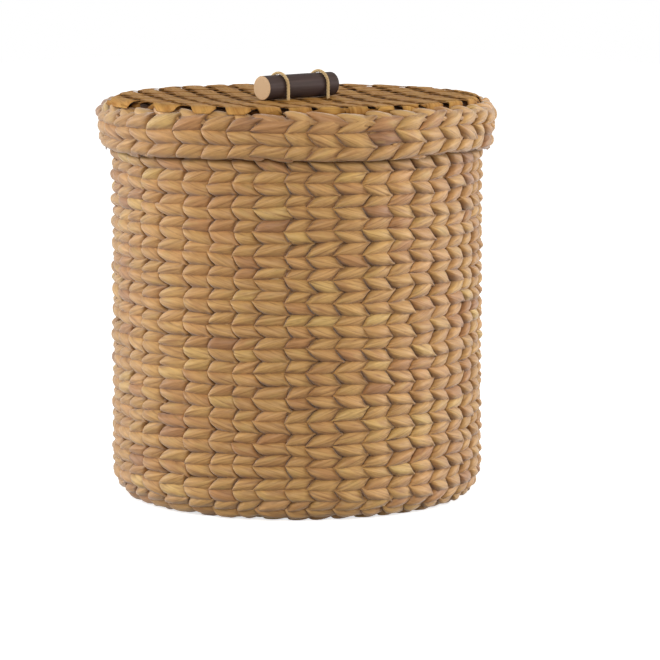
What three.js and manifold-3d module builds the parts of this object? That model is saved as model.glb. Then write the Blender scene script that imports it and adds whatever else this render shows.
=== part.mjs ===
// Round laundry basket twined from water hyacinth, with a lift-off lid and a dowel handle.
// Millimetres, +Z up, origin at the middle of the underside. The dowel lies along X.

import * as THREE from 'three';
import { mergeVertices } from 'three/addons/utils/BufferGeometryUtils.js';
import Module from 'manifold-3d';

const wasm = await Module();
wasm.setup();

// Driving dimensions of the basket
const wallDiameter = 380;
const courseHeight = 23.57;
const wallCourses = 15;
const turnRadius = 32;
const turnCourses = 2;
const stakeCount = 40;
const stakeWidth = 9;
const stakeThickness = 3.2;
const frontStrand = 5;
const frontValley = 2.6;
const backStrand = 4.5;
const borderHeight = 18;
const borderCover = 6;

// Driving dimensions of the base
const baseHoopRadius = 96;
const baseHoopWidth = 7;
const baseHoopRelief = 0.4;
const baseSpokes = 10;
const baseSpokeWidth = 11;
const baseHubRadius = 24;
const floorCourses = 7;
const floorValley = 2.4;

// Driving dimensions of the lid
const lidSlack = 1.5;
const lidBackStrand = 3.4;
const stripThickness = 2.4;
const lidStrand = 5.5;
const lidTopRow = 6.2;
const lidValley = 3;
const lidFlare = 2.4;
const lidOverlap = 39;
const lidCourseHeight = 26;
const lidPanelThickness = 7;
const lidDish = 4;
const lidShoulder = 13;
const lidShoulderDrop = 8;

// Driving dimensions of the handle
const dowelDiameter = 25;
const dowelLength = 100;
const dowelChamfer = 0.8;
const dowelSides = 24;
const twineDiameter = 3.5;
const twineSides = 6;
const loopSteps = 36;
const loopSpacing = 57.5;
const loopShift = 2.8;
const knotDiameter = 9;
const knotSides = 8;
const knotRings = 5;

// Clearances
const seat = 0.3;
const loopSlack = 0.3;
const holeSlack = 0.35;

// Every ring has one flat per stake, so its flats lie parallel to the flat stakes
const pitchAngle = 2 * Math.PI / stakeCount;
const flatRatio = Math.cos(pitchAngle / 2);

// Layers of the wall, measured outwards from the centre of the rounded bottom edge
const turnCentre = wallDiameter / 2 - turnRadius;
const frontArc = turnRadius - frontStrand;
const stakeOuterArc = frontArc * flatRatio - seat;
const stakeInnerArc = stakeOuterArc - stakeThickness;
const backArc = (stakeInnerArc - seat) / flatRatio;
const stakeOuter = turnCentre * flatRatio + stakeOuterArc;
const stakeInner = stakeOuter - stakeThickness;

// Levels, from the floor up
const wallTop = turnRadius + wallCourses * courseHeight;
const rimTop = wallTop + borderHeight;
const stakeTop = rimTop - borderCover;
const legBottom = turnRadius - stakeOuterArc;
const legTop = legBottom + stakeThickness;
const lidUnder = rimTop + seat;
const lidCentre = lidUnder + lidPanelThickness;
const lidCrest = lidCentre + lidDish;
const lidBottom = rimTop - lidOverlap;
const dowelLevel = lidCentre + seat + dowelDiameter / 2;

// Layers of the lid's skirt, at its lower edge
const lidBackCrest = (wallDiameter / 2 + lidSlack) / flatRatio;
const lidBackFace = lidBackCrest + lidBackStrand;
const stripInner = lidBackFace * flatRatio + seat;
const stripOuter = stripInner + stripThickness;
const lidFrontFace = (stripOuter + seat) / flatRatio;

// Small helpers for points and solids
const point = (radius, level) => new THREE.Vector2(radius, level);

function toSolid(geometry) {
  const bare = geometry.index ? geometry.toNonIndexed() : geometry.clone();
  bare.deleteAttribute('normal');
  bare.deleteAttribute('uv');
  const merged = mergeVertices(bare, 1e-4);
  const vertProperties = new Float32Array(merged.attributes.position.array);
  const triVerts = new Uint32Array(merged.index.array);
  return new wasm.Manifold(new wasm.Mesh({ numProp: 3, vertProperties, triVerts }));
}

function toGeometry(solid) {
  const mesh = solid.getMesh();
  const geometry = new THREE.BufferGeometry();
  geometry.setAttribute('position', new THREE.BufferAttribute(mesh.vertProperties, 3));
  geometry.setIndex(new THREE.BufferAttribute(mesh.triVerts, 1));
  return geometry;
}

function joined(geometries) {
  return geometries.map(toSolid).reduce((whole, solid) => whole.add(solid));
}

// A closed section in radius and level, turned into a ring or a disc about the Z axis
function turned(section, sides = stakeCount) {
  const outline = THREE.ShapeUtils.area(section) > 0 ? section : [...section].reverse();
  const onAxis = section.some((corner) => corner.x === 0);
  const profile = onAxis ? outline : [...outline, outline[0].clone()];
  const geometry = new THREE.LatheGeometry(profile, sides, Math.PI / sides);
  geometry.rotateX(Math.PI / 2);
  return geometry;
}

// Section of a course: one or more rounded rows on the line from its lower to its upper edge
function courseSection(lower, upper, bulges, valley) {
  const along = upper.clone().sub(lower);
  const outward = point(along.y, -along.x).normalize();
  const section = [lower];
  bulges.forEach((bulge, row) => {
    const crest = (row + 0.5) / bulges.length;
    section.push(lower.clone().addScaledVector(along, crest).addScaledVector(outward, bulge));
    if (row + 1 < bulges.length) {
      const dip = (row + 1) / bulges.length;
      section.push(lower.clone().addScaledVector(along, dip).addScaledVector(outward, valley));
    }
  });
  section.push(upper);
  return section;
}

// Stakes: flat uprights that turn in under the basket and end in a hoop below the floor
function arcPoint(arc, angle, ratio = 1) {
  const radius = turnCentre * ratio + arc * Math.cos(angle);
  return point(radius, turnRadius - arc * Math.sin(angle));
}

function stakeOutline() {
  const turnAngles = Array.from({ length: turnCourses + 1 }, (_, i) => i / turnCourses * Math.PI / 2);
  const outside = turnAngles.map((angle) => arcPoint(stakeOuterArc, angle, flatRatio));
  const inside = turnAngles.map((angle) => arcPoint(stakeInnerArc, angle, flatRatio)).reverse();
  const top = [point(stakeInner, stakeTop), point(stakeOuter, stakeTop)];
  const foot = [point(baseHoopRadius, legBottom), point(baseHoopRadius, legTop)];
  return [...top, ...outside, ...foot, ...inside];
}

function stakeGeometry(index) {
  const shape = new THREE.Shape(stakeOutline());
  const geometry = new THREE.ExtrudeGeometry(shape, { depth: stakeWidth, bevelEnabled: false });
  geometry.translate(0, 0, -stakeWidth / 2);
  geometry.rotateX(Math.PI / 2);
  geometry.rotateZ(index * pitchAngle);
  return geometry;
}

function stakeCage() {
  const stakes = Array.from({ length: stakeCount }, (_, index) => stakeGeometry(index));
  const inner = baseHoopRadius - baseHoopWidth / 2;
  const outer = baseHoopRadius + baseHoopWidth / 2;
  const bottom = legBottom + baseHoopRelief;
  const top = legTop - baseHoopRelief;
  const hoop = turned([
    point(inner, bottom),
    point(outer, bottom),
    point(outer, top),
    point(inner, top),
  ]);
  return toGeometry(joined([hoop, ...stakes]));
}

// Wall courses: the front strands outside the stakes and the back strands inside them
function frontCourse(index) {
  const bottom = turnRadius + index * courseHeight;
  const face = turnCentre + frontArc;
  const lower = point(face, bottom + seat / 2);
  const upper = point(face, bottom + courseHeight - seat / 2);
  return turned(courseSection(lower, upper, [frontStrand, frontStrand], frontValley));
}

function backCourse(index) {
  const bottom = turnRadius + index * courseHeight;
  const face = turnCentre + backArc;
  const lower = point(face, bottom + seat / 2);
  const upper = point(face, bottom + courseHeight - seat / 2);
  return turned(courseSection(lower, upper, [-backStrand], 0));
}

// Courses round the bottom edge, numbered from the wall down to the base
function turnEdges(arc, index) {
  const margin = seat / 2 / arc;
  const start = index / turnCourses * Math.PI / 2 + margin;
  const end = (index + 1) / turnCourses * Math.PI / 2 - margin;
  return [arcPoint(arc, end), arcPoint(arc, start)];
}

function frontTurnCourse(index) {
  const [lower, upper] = turnEdges(frontArc, index);
  const chord = lower.distanceTo(upper);
  const chordDistance = Math.sqrt(frontArc ** 2 - (chord / 2) ** 2);
  const bulge = Math.sqrt(turnRadius ** 2 - (chord / 4) ** 2) - chordDistance;
  const valley = bulge - frontStrand + frontValley;
  return turned(courseSection(lower, upper, [bulge, bulge], valley));
}

function backTurnCourse(index) {
  const [lower, upper] = turnEdges(backArc, index);
  return turned(courseSection(lower, upper, [-backStrand], 0));
}

// Border: the stake ends plaited down over the rim, over a slot that holds the stake tops
function rimBorder() {
  const frontFace = turnCentre + frontArc;
  const backFace = turnCentre + backArc;
  const outer = frontFace + frontStrand;
  const inner = backFace - backStrand;
  const bottom = wallTop + seat / 2;
  const belly = wallTop + borderHeight * 0.35;
  const shoulder = rimTop - borderHeight * 0.2;
  const slotTop = stakeTop + seat;
  return turned([
    point(frontFace, bottom),
    point(outer, belly),
    point(outer - 1, shoulder),
    point((frontFace + backFace) / 2 + 2, rimTop),
    point((frontFace + backFace) / 2 - 2, rimTop),
    point(inner + 1, shoulder),
    point(inner, belly),
    point(backFace, bottom),
    point(backFace, slotTop),
    point(frontFace, slotTop),
  ]);
}

// Base: crossed spokes in the middle, woven over from below and from above
function baseCross() {
  const reach = baseHoopRadius - baseHoopWidth / 2 - seat;
  const shape = new THREE.Shape();
  const spread = 2 * Math.PI / baseSpokes;
  for (let spoke = 0; spoke < baseSpokes; spoke += 1) {
    const middle = spoke * spread;
    const tip = Math.asin(baseSpokeWidth / 2 / reach);
    const corners = [
      [baseHubRadius, middle - spread / 2],
      [reach, middle - tip],
      [reach, middle + tip],
    ];
    corners.forEach(([radius, angle], corner) => {
      const place = [radius * Math.cos(angle), radius * Math.sin(angle)];
      if (spoke + corner === 0) shape.moveTo(...place);
      else shape.lineTo(...place);
    });
  }
  shape.closePath();
  const geometry = new THREE.ExtrudeGeometry(shape, { depth: stakeThickness, bevelEnabled: false });
  geometry.translate(0, 0, legBottom);
  return geometry;
}

function baseUnderWeave() {
  const edge = turnCentre - seat;
  const top = legBottom - seat;
  const chamfer = frontStrand - frontValley;
  return turned([
    point(0, 0),
    point(edge - chamfer, 0),
    point(edge, chamfer),
    point(edge, top),
    point(0, top),
  ]);
}

function baseFloorWeave() {
  const edge = turnCentre - seat;
  const bottom = legTop + seat;
  const crest = bottom + backStrand;
  const width = edge / floorCourses;
  const section = [point(0, bottom), point(edge, bottom)];
  for (let course = floorCourses; course > 0; course -= 1) {
    section.push(point(course * width, crest - floorValley));
    section.push(point((course - 0.5) * width, crest));
  }
  section.push(point(0, crest));
  return turned(section);
}

// Lid: flat-woven strips that fold over the edge and hang down inside the twined skirt
const flareAt = (level) => lidFlare * (level - lidBottom) / (lidCrest - lidBottom);
const skirtFace = (face, level) => point(face + flareAt(level), level);

function loopPlaces() {
  return [loopShift - loopSpacing / 2, loopShift + loopSpacing / 2];
}

const loopRadius = dowelDiameter / 2 + loopSlack + twineDiameter / 2;

function lidPanel() {
  const shoulderLevel = lidCrest - lidShoulderDrop;
  const outerTop = skirtFace(stripOuter / flatRatio, shoulderLevel);
  const crestRadius = outerTop.x - lidShoulder;
  const section = [
    point(0, lidUnder),
    point(skirtFace(stripInner / flatRatio, lidUnder).x, lidUnder),
    skirtFace(stripInner / flatRatio, lidBottom + seat),
    skirtFace(stripOuter / flatRatio, lidBottom + seat),
    outerTop,
    point(outerTop.x - lidShoulder / 5, lidCrest - lidShoulderDrop / 3),
    point(outerTop.x - lidShoulder / 2, lidCrest),
    point(crestRadius, lidCrest - lidDish / 8),
    point(dowelLength * 0.7, lidCentre),
    point(0, lidCentre),
  ];
  let panel = toSolid(turned(section));
  const depth = lidPanelThickness * 2;
  for (const place of loopPlaces()) {
    for (const side of [-1, 1]) {
      const hole = new THREE.CylinderGeometry(
        twineDiameter / 2 + holeSlack,
        twineDiameter / 2 + holeSlack,
        depth,
        twineSides,
      );
      hole.rotateX(Math.PI / 2);
      hole.translate(place, side * loopRadius, lidUnder + lidPanelThickness / 2);
      panel = panel.subtract(toSolid(hole));
    }
  }
  return toGeometry(panel);
}

function lidLowerCourse() {
  const lower = skirtFace(lidFrontFace, lidBottom);
  const upper = skirtFace(lidFrontFace, lidBottom + lidCourseHeight - seat / 2);
  return turned(courseSection(lower, upper, [lidStrand, lidStrand], lidValley));
}

function lidUpperCourse() {
  const lower = skirtFace(lidFrontFace, lidBottom + lidCourseHeight + seat / 2);
  const upper = skirtFace(lidFrontFace, lidCrest - lidShoulderDrop);
  return turned(courseSection(lower, upper, [lidTopRow], 0));
}

function lidShoulderCourse() {
  const shoulderLevel = lidCrest - lidShoulderDrop;
  const edge = skirtFace(lidFrontFace, shoulderLevel + seat);
  const inset = lidShoulder / 5;
  const lower = point(edge.x, edge.y);
  const upper = point(edge.x - inset + seat, lidCrest - lidShoulderDrop / 3 + seat);
  return turned(courseSection(lower, upper, [lidValley], 0));
}

function lidBackCourse() {
  const lower = skirtFace(lidBackFace, lidBottom + seat);
  const upper = skirtFace(lidBackFace, lidBottom + lidCourseHeight);
  return turned(courseSection(lower, upper, [-lidBackStrand, -lidBackStrand], -lidBackStrand / 2));
}

// Handle: a dowel held down by two twine loops that pass through the lid and are knotted under it
function handleDowel() {
  const radius = dowelDiameter / 2;
  const half = dowelLength / 2;
  const section = [
    point(0, -half),
    point(radius - dowelChamfer, -half),
    point(radius, dowelChamfer - half),
    point(radius, half - dowelChamfer),
    point(radius - dowelChamfer, half),
    point(0, half),
  ];
  const geometry = turned(section, dowelSides);
  geometry.rotateY(Math.PI / 2);
  return geometry;
}

class LoopCurve extends THREE.Curve {
  // Up one leg, over the dowel, down the other leg, with both ends drawn in to the knot
  constructor(radius, legLength, bend) {
    super();
    const arch = new THREE.Path();
    arch.moveTo(-bend / 2, -legLength);
    arch.lineTo(bend - radius, -legLength);
    arch.absarc(bend - radius, bend - legLength, bend, -Math.PI / 2, -Math.PI, true);
    arch.lineTo(-radius, 0);
    arch.absarc(0, 0, radius, Math.PI, 0, true);
    arch.lineTo(radius, bend - legLength);
    arch.absarc(radius - bend, bend - legLength, bend, 0, -Math.PI / 2, true);
    arch.lineTo(bend / 2, -legLength);
    this.arch = arch;
  }

  getPoint(t, target = new THREE.Vector3()) {
    const flat = this.arch.getPointAt(t);
    return target.set(0, flat.x, flat.y);
  }
}

function handleLoop() {
  const bend = twineDiameter / 2 + seat;
  const underRun = lidUnder - bend;
  const route = new LoopCurve(loopRadius, dowelLevel - underRun, bend);
  const section = new THREE.Shape(
    Array.from({ length: twineSides }, (_, corner) => {
      const angle = (corner + 0.5) / twineSides * 2 * Math.PI;
      return point(twineDiameter / 2 * Math.cos(angle), twineDiameter / 2 * Math.sin(angle));
    }),
  );
  const twine = new THREE.ExtrudeGeometry(section, { steps: loopSteps, extrudePath: route });
  const knot = new THREE.SphereGeometry(knotDiameter / 2, knotSides, knotRings);
  const knotDrop = knotDiameter / 2 - twineDiameter / 2;
  knot.translate(0, 0, underRun - dowelLevel - knotDrop);
  return toGeometry(joined([twine, knot]));
}

// Materials
const hyacinth = { color: 0xc29b6a, roughness: 0.85, metalness: 0 };
const innerHyacinth = { color: 0xb58d5e, roughness: 0.9, metalness: 0 };
const stakeCane = { color: 0xd2b285, roughness: 0.8, metalness: 0 };
const stainedWood = { color: 0x43352f, roughness: 0.5, metalness: 0 };
const straw = { color: 0xcfab78, roughness: 0.85, metalness: 0 };

function piece(name, geometry, finish) {
  const mesh = new THREE.Mesh(geometry, new THREE.MeshStandardMaterial(finish));
  mesh.name = name;
  return mesh;
}

// The basket
const basket = new THREE.Group();
basket.add(piece('base_under_weave', baseUnderWeave(), hyacinth));
basket.add(piece('base_cross', baseCross(), stakeCane));
basket.add(piece('base_floor_weave', baseFloorWeave(), innerHyacinth));
basket.add(piece('stake_cage', stakeCage(), stakeCane));
for (let index = 0; index < turnCourses; index += 1) {
  basket.add(piece(`turn_course_${index + 1}_front`, frontTurnCourse(index), hyacinth));
  basket.add(piece(`turn_course_${index + 1}_back`, backTurnCourse(index), innerHyacinth));
}
for (let index = 0; index < wallCourses; index += 1) {
  const number = String(index + 1).padStart(2, '0');
  basket.add(piece(`wall_course_${number}_front`, frontCourse(index), hyacinth));
  basket.add(piece(`wall_course_${number}_back`, backCourse(index), innerHyacinth));
}
basket.add(piece('rim_border', rimBorder(), hyacinth));

// The lid and its handle
const lid = new THREE.Group();
lid.add(piece('lid_panel', lidPanel(), hyacinth));
lid.add(piece('lid_course_lower', lidLowerCourse(), hyacinth));
lid.add(piece('lid_course_upper', lidUpperCourse(), hyacinth));
lid.add(piece('lid_course_shoulder', lidShoulderCourse(), hyacinth));
lid.add(piece('lid_course_back', lidBackCourse(), innerHyacinth));
const dowel = piece('handle_dowel', handleDowel(), stainedWood);
dowel.position.z = dowelLevel;
lid.add(dowel);
loopPlaces().forEach((place, index) => {
  const loop = piece(`handle_loop_${index + 1}`, handleLoop(), straw);
  loop.position.set(place, 0, dowelLevel);
  lid.add(loop);
});

const laundryBasket = new THREE.Group();
laundryBasket.add(basket);
laundryBasket.add(lid);

export default laundryBasket;
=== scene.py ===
"""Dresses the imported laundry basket: twined hyacinth wall, woven lid and bound dowel handle."""

import math

import bpy
import numpy as np
from bpy.props import FloatProperty, FloatVectorProperty, IntProperty, PointerProperty
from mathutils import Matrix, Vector


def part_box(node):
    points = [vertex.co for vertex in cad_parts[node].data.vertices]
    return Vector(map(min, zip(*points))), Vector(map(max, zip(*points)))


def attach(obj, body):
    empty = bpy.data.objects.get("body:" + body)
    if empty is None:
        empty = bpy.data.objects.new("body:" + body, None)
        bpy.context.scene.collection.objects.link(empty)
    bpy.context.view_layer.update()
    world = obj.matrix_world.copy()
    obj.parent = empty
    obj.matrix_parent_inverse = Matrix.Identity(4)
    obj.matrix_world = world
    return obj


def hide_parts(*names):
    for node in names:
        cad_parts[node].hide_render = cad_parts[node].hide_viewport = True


bl_info = {
    "name": "Laundry basket",
    "version": (1, 0, 0),
    "blender": (4, 5, 0),
    "location": "3D View > Sidebar > Basket",
    "description": "Weaves a lidded laundry basket round its packed frame",
    "category": "Mesh",
}

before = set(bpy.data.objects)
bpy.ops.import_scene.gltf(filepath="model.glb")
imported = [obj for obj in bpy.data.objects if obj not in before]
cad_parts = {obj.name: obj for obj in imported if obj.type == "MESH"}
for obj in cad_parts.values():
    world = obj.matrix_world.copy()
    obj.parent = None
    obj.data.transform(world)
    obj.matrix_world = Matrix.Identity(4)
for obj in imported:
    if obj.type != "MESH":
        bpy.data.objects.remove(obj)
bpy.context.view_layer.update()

MM = 0.001
QUARTER = math.pi / 2
FULL_TURN = 2 * math.pi


def outer_halves(kind):
    """Nodes of one kind of course, each the outer half of a pair."""
    return sorted(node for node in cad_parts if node.startswith(kind) and node.endswith("front"))


WALL_NODES = outer_halves("wall_course")
TURN_NODES = outer_halves("turn_course")

# Sizes read from the frame, in metres. Its rings are polygons with a flat over each stake, so their
# corners lie a little further out than their boxes say.
STAKES = 40
FLAT_RATIO = math.cos(math.pi / STAKES)
WALL_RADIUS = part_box(WALL_NODES[0])[1].x / FLAT_RATIO
TURN_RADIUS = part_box(WALL_NODES[0])[0].z
TURN_CENTRE = WALL_RADIUS - TURN_RADIUS
STAKE_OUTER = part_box("stake_cage")[1].x
STAKE_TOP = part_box("stake_cage")[1].z
FLOOR_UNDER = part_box("base_floor_weave")[0].z
LEG_LEVEL = (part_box("base_cross")[0].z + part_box("base_cross")[1].z) / 2
LEG_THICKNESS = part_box("base_cross")[1].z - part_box("base_cross")[0].z
STAKE_MIDDLE = STAKE_OUTER - LEG_THICKNESS / 2
TURN_MIDDLE = STAKE_MIDDLE - TURN_CENTRE
BASE_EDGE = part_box("base_under_weave")[1].x / FLAT_RATIO
LID_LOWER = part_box("lid_course_lower")
LID_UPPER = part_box("lid_course_upper")
LID_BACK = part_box("lid_course_back")
LID_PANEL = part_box("lid_panel")
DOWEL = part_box("handle_dowel")
DOWEL_LEVEL = (DOWEL[0].z + DOWEL[1].z) / 2
LOOPS = [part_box("handle_loop_1"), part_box("handle_loop_2")]

# Gaps between the stakes that the photograph shows, in degrees right of the view's middle: where a
# stitch starts, on the edge of its course, and where its neighbour's tail ends, on the middle line
VIEW_AZIMUTH = -45
SEEN_GAPS = (
    (-73.5, -70.0), (-64.5, -61.3), (-56.0, -53.2), (-47.6, -43.9), (-37.0, -35.3), (-27.7, -26.2),
    (-19.6, -18.3), (-12.9, -9.9), (-3.1, -1.3), (3.5, 6.8), (12.0, 15.1), (21.2, 23.8),
    (29.5, 32.1), (38.0, 40.4), (46.3, 49.3), (54.6, 57.8), (63.4, 66.4),
)


# Settings


class BasketWeave(bpy.types.PropertyGroup):
    stitch_width: FloatProperty(
        name="Stitch width",
        description="Width of one flattened stalk where it lies over a stake",
        default=12.8 * MM,
        unit="LENGTH",
    )
    stitch_crest: FloatProperty(
        name="Stitch crest",
        description="How far a stalk stands off the middle of the stake that it passes",
        default=9.0 * MM,
        unit="LENGTH",
    )
    strip_pitch: FloatProperty(
        name="Lid strip pitch",
        description="Distance between the flat strips of the lid's top",
        default=29 * MM,
        unit="LENGTH",
    )
    strip_width: FloatProperty(
        name="Lid strip width",
        description="Width of the flat strips of the lid's top",
        default=21 * MM,
        unit="LENGTH",
    )
    strip_angle: FloatProperty(
        name="Lid strip angle",
        description="Direction of the lid's strips from the dowel",
        default=math.radians(60),
        subtype="ANGLE",
    )
    seed: IntProperty(name="Seed", description="Start of the random variation", default=11)


class BasketFinish(bpy.types.PropertyGroup):
    stalk: FloatVectorProperty(
        name="Stalk colour",
        description="Middle colour of the dried stalks",
        subtype="COLOR",
        size=3,
        default=(0.456, 0.250, 0.079),
    )
    cane: FloatVectorProperty(
        name="Cane colour",
        description="Colour of the stakes",
        subtype="COLOR",
        size=3,
        default=(0.60, 0.42, 0.22),
    )
    stain: FloatVectorProperty(
        name="Stain colour",
        description="Colour of the dowel's stained side",
        subtype="COLOR",
        size=3,
        default=(0.044, 0.027, 0.022),
    )
    end_grain: FloatVectorProperty(
        name="End grain colour",
        description="Colour of the dowel's raw ends",
        subtype="COLOR",
        size=3,
        default=(0.56, 0.38, 0.22),
    )
    twine: FloatVectorProperty(
        name="Twine colour",
        description="Colour of the handle's twine",
        subtype="COLOR",
        size=3,
        default=(0.60, 0.42, 0.20),
    )


class BasketStage(bpy.types.PropertyGroup):
    focal_pixels: FloatProperty(
        name="Focal length in pixels",
        description="The photograph's focal length, on its own 660 pixels",
        default=3900,
        subtype="PIXEL",
    )
    pitch: FloatProperty(
        name="Pitch",
        description="How far the camera looks down",
        default=math.radians(7.3),
        subtype="ANGLE",
    )
    key_energy: FloatProperty(
        name="Key light",
        description="Power of the upper light",
        default=60,
        unit="POWER",
    )
    side_energy: FloatProperty(
        name="Side lights",
        description="Power of each of the two side lights, before their small difference",
        default=46,
        unit="POWER",
    )
    world_strength: FloatProperty(
        name="Surroundings",
        description="Strength of the white surroundings as light",
        default=0.18,
        subtype="FACTOR",
    )
    floor_lift: FloatProperty(
        name="Floor lift",
        description="How much whiter the floor looks than its light makes it",
        default=0.70,
        subtype="FACTOR",
    )


# Mesh helpers


def new_object(name, mesh, material):
    piece = bpy.data.objects.new(name, mesh)
    bpy.context.scene.collection.objects.link(piece)
    for each in material if isinstance(material, (list, tuple)) else [material]:
        mesh.materials.append(each)
    return piece


def quad_mesh(name, points, quads, slots=None):
    mesh = bpy.data.meshes.new(name)
    mesh.vertices.add(len(points))
    mesh.vertices.foreach_set("co", np.asarray(points, dtype=np.float32).ravel())
    mesh.loops.add(quads.size)
    mesh.loops.foreach_set("vertex_index", quads.astype(np.int32).ravel())
    mesh.polygons.add(len(quads))
    mesh.polygons.foreach_set("loop_start", np.arange(0, quads.size, 4, dtype=np.int32))
    mesh.polygons.foreach_set("use_smooth", np.ones(len(quads), dtype=bool))
    if slots is not None:
        mesh.polygons.foreach_set("material_index", slots.astype(np.int32))
    mesh.update(calc_edges=True)
    return mesh


def add_attribute(mesh, name, values):
    values = np.asarray(values, dtype=np.float32)
    kind, key = ("FLOAT_VECTOR", "vector") if values.ndim == 2 else ("FLOAT", "value")
    attribute = mesh.attributes.new(name, kind, "POINT")
    attribute.data.foreach_set(key, values.ravel())


def angles_round(count, shift=0.0):
    """Even angles round one turn."""
    return FULL_TURN * (np.arange(count) + shift) / count


def flattened(wave, power):
    """A sine or cosine made squarer, so that a round section becomes a flat one."""
    return np.sign(wave) * np.abs(wave) ** power


def smooth(share):
    """A share from 0 to 1 that starts and ends gently."""
    return share**2 * (3 - 2 * share)


def polar(radius, angle, level):
    """Points at a radius from the basket's axis, an angle round it and a level."""
    points = np.broadcast_arrays(radius * np.cos(angle), radius * np.sin(angle), level)
    return np.stack(points, axis=-1)


def stalk_places(along, across):
    """Where each point lies along and across its stalk, which the material's fibres follow."""
    return np.stack(np.broadcast_arrays(along, across, 0.0), axis=-1)


def tube_quads(tubes, rings, sides):
    """Faces of closed tubes whose points are laid out as tube, ring, side, with capped ends."""
    ring, side = np.meshgrid(np.arange(rings - 1), np.arange(sides), indexing="ij")
    after = (side + 1) % sides
    here = ring * sides
    there = (ring + 1) * sides
    wall = np.stack([here + side, here + after, there + after, there + side], axis=-1).reshape(-1, 4)
    step = np.arange(sides // 2 - 1)
    cap = np.stack([step, sides - 1 - step, sides - 2 - step, step + 1], axis=-1)
    end = cap[:, ::-1] + (rings - 1) * sides
    one = np.concatenate([wall, cap, end])
    starts = np.arange(tubes)[:, None, None] * rings * sides
    return (one[None] + starts).reshape(-1, 4)


class Weave:
    """Gathers tubes of stalk, then makes one mesh of them."""

    def __init__(self):
        self.points, self.quads, self.places, self.tones, self.shades = [], [], [], [], []
        self.count = 0

    def add(self, points, places, tones, shade=None):
        """points and places are tube, ring, side, 3; tones is one number for each tube."""
        tubes, rings, sides, _ = points.shape
        quads = tube_quads(tubes, rings, sides)
        if self.inside_out(points.reshape(-1, 3)[quads[: len(quads) // tubes]]):
            quads = quads[:, ::-1]
        self.points.append(points.reshape(-1, 3))
        self.places.append(places.reshape(-1, 3))
        self.tones.append(np.repeat(tones, rings * sides))
        self.shades.append(np.zeros(tubes * rings * sides) if shade is None else shade.ravel())
        self.quads.append(quads + self.count)
        self.count += points[..., 0].size

    @staticmethod
    def inside_out(corners):
        """Whether a closed tube's faces look inwards, from the sign of its volume."""
        edges = corners[:, 1:] - corners[:, :1]
        turned = np.cross(edges[:, 0], edges[:, 1]) + np.cross(edges[:, 1], edges[:, 2])
        return np.sum(turned * (corners[:, 0] - corners[0, 0])) < 0

    def make(self, name, material):
        mesh = quad_mesh(name, np.concatenate(self.points), np.concatenate(self.quads))
        add_attribute(mesh, "stalk_place", np.concatenate(self.places))
        add_attribute(mesh, "stalk_tone", np.concatenate(self.tones))
        add_attribute(mesh, "stalk_shade", np.concatenate(self.shades))
        return new_object(name, mesh, material)


# Twining


# Rings along a stitch and sides round it, for stitches that show, for hidden ones and for the rest
FRONT_DETAIL = (21, 24)
BACK_DETAIL = (9, 12)
BASE_DETAIL = (11, 12)
RIM_DETAIL = (13, 14)

# Spread of the gaps that the photograph doesn't show, in degrees
HIDDEN_JITTER = 0.9
HIDDEN_TAILS = (1.5, 3.2)

# A leaf's way along its row: the spread of its start, the length of its slanted edge and how much
# that varies, and how far the leaf reaches past the gaps, in lengths of the slanted edge
START_SPREAD = 0.8 * MM
SLOPE_LENGTHS = (6.5 * MM, 13 * MM)
SLOPE_SPREAD = 0.20
LEAF_START = -0.30
LEAF_END = 0.92
BLUNT_LENGTH = 0.9 * MM

# Its edges, in half widths from the middle of its row
LEAF_BOTTOM = -1.10
LEAF_TOP = 0.94
LEAF_TOP_LIMIT = 1.12
TAIL_SAG = 0.18
WIDTH_SPREAD = 0.07

# How proud it stands along its way from one gap to the next, from 0 under its neighbours to 1
LEAF_PLACES = (-0.12, 0.0, 0.08, 0.18, 0.40, 0.70, 1.0, 1.30)
LEAF_RISE = (-0.60, 0.12, 0.66, 0.92, 1.0, 0.82, 0.45, -0.20)
CREST_SPREAD = 0.10
SINK_SPREAD = 0.3
GAP_DEPTH = 1.2 * MM

# Its place in the row: how much it tilts and stands up or down, and the waves of the whole row, each
# with its height, its waves round the basket and how fast these shift from row to row
FIBRE_LEANS = (0.22, 0.44)
TILT_SPREAD = 0.045
RISE_SPREAD = 0.65 * MM
ROW_WAVES = ((1.1 * MM, 5, 40), (0.4 * MM, 17, 70))

# How far the lower row of a course stands behind the upper one, and how strongly a row on the turn of
# the bottom edge bends across, as one over its radius
SET_BACK = 0.8 * MM
TURN_BEND = 20.0

# Rounds of the base
ROUND_PITCH = 11.6 * MM
ROUND_STITCH = 29 * MM
FEWEST_STITCHES = 6


class Row:
    """One row of stitches on a surface of revolution: its middle, the way up it and the way out of it.

    slant is 1 or -1 for the edge on which the stitches start, curve is how much the surface bends
    across the row, and stand is how far the row stands out.
    """

    def __init__(self, radius, level, outward, slant, height, curve=0.0, inside=False, stand=0.0):
        self.radius, self.level = radius, level
        self.out = np.array(outward) / math.hypot(*outward)
        self.up = np.array([-self.out[1], self.out[0]])
        self.slant, self.height, self.curve, self.inside = slant, height, curve, inside
        self.stand = stand


def even_gaps(count, rng, jitter=0.10, tails=(0.18, 0.36)):
    """Start and tail angles of evenly spread gaps, with their spread in shares of the pitch."""
    pitch = FULL_TURN / count
    starts = (np.arange(count) + rng.uniform(-jitter, jitter, count)) * pitch
    return np.stack([starts, starts + rng.uniform(*tails, count) * pitch], axis=1)


def seen_gaps(seed):
    """Gaps round the basket: the ones that the photograph shows, and the rest spread evenly."""
    rng = np.random.default_rng(seed)
    seen = np.array(SEEN_GAPS)
    hidden = STAKES - len(seen)
    starts = np.linspace(seen[-1, 0], seen[0, 0] + 360, hidden + 2)[1:-1]
    starts = starts + rng.uniform(-HIDDEN_JITTER, HIDDEN_JITTER, hidden)
    rest = np.stack([starts, starts + rng.uniform(*HIDDEN_TAILS, hidden)], axis=1)
    return np.radians(np.concatenate([seen, rest]) + VIEW_AZIMUTH - 90)


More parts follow.
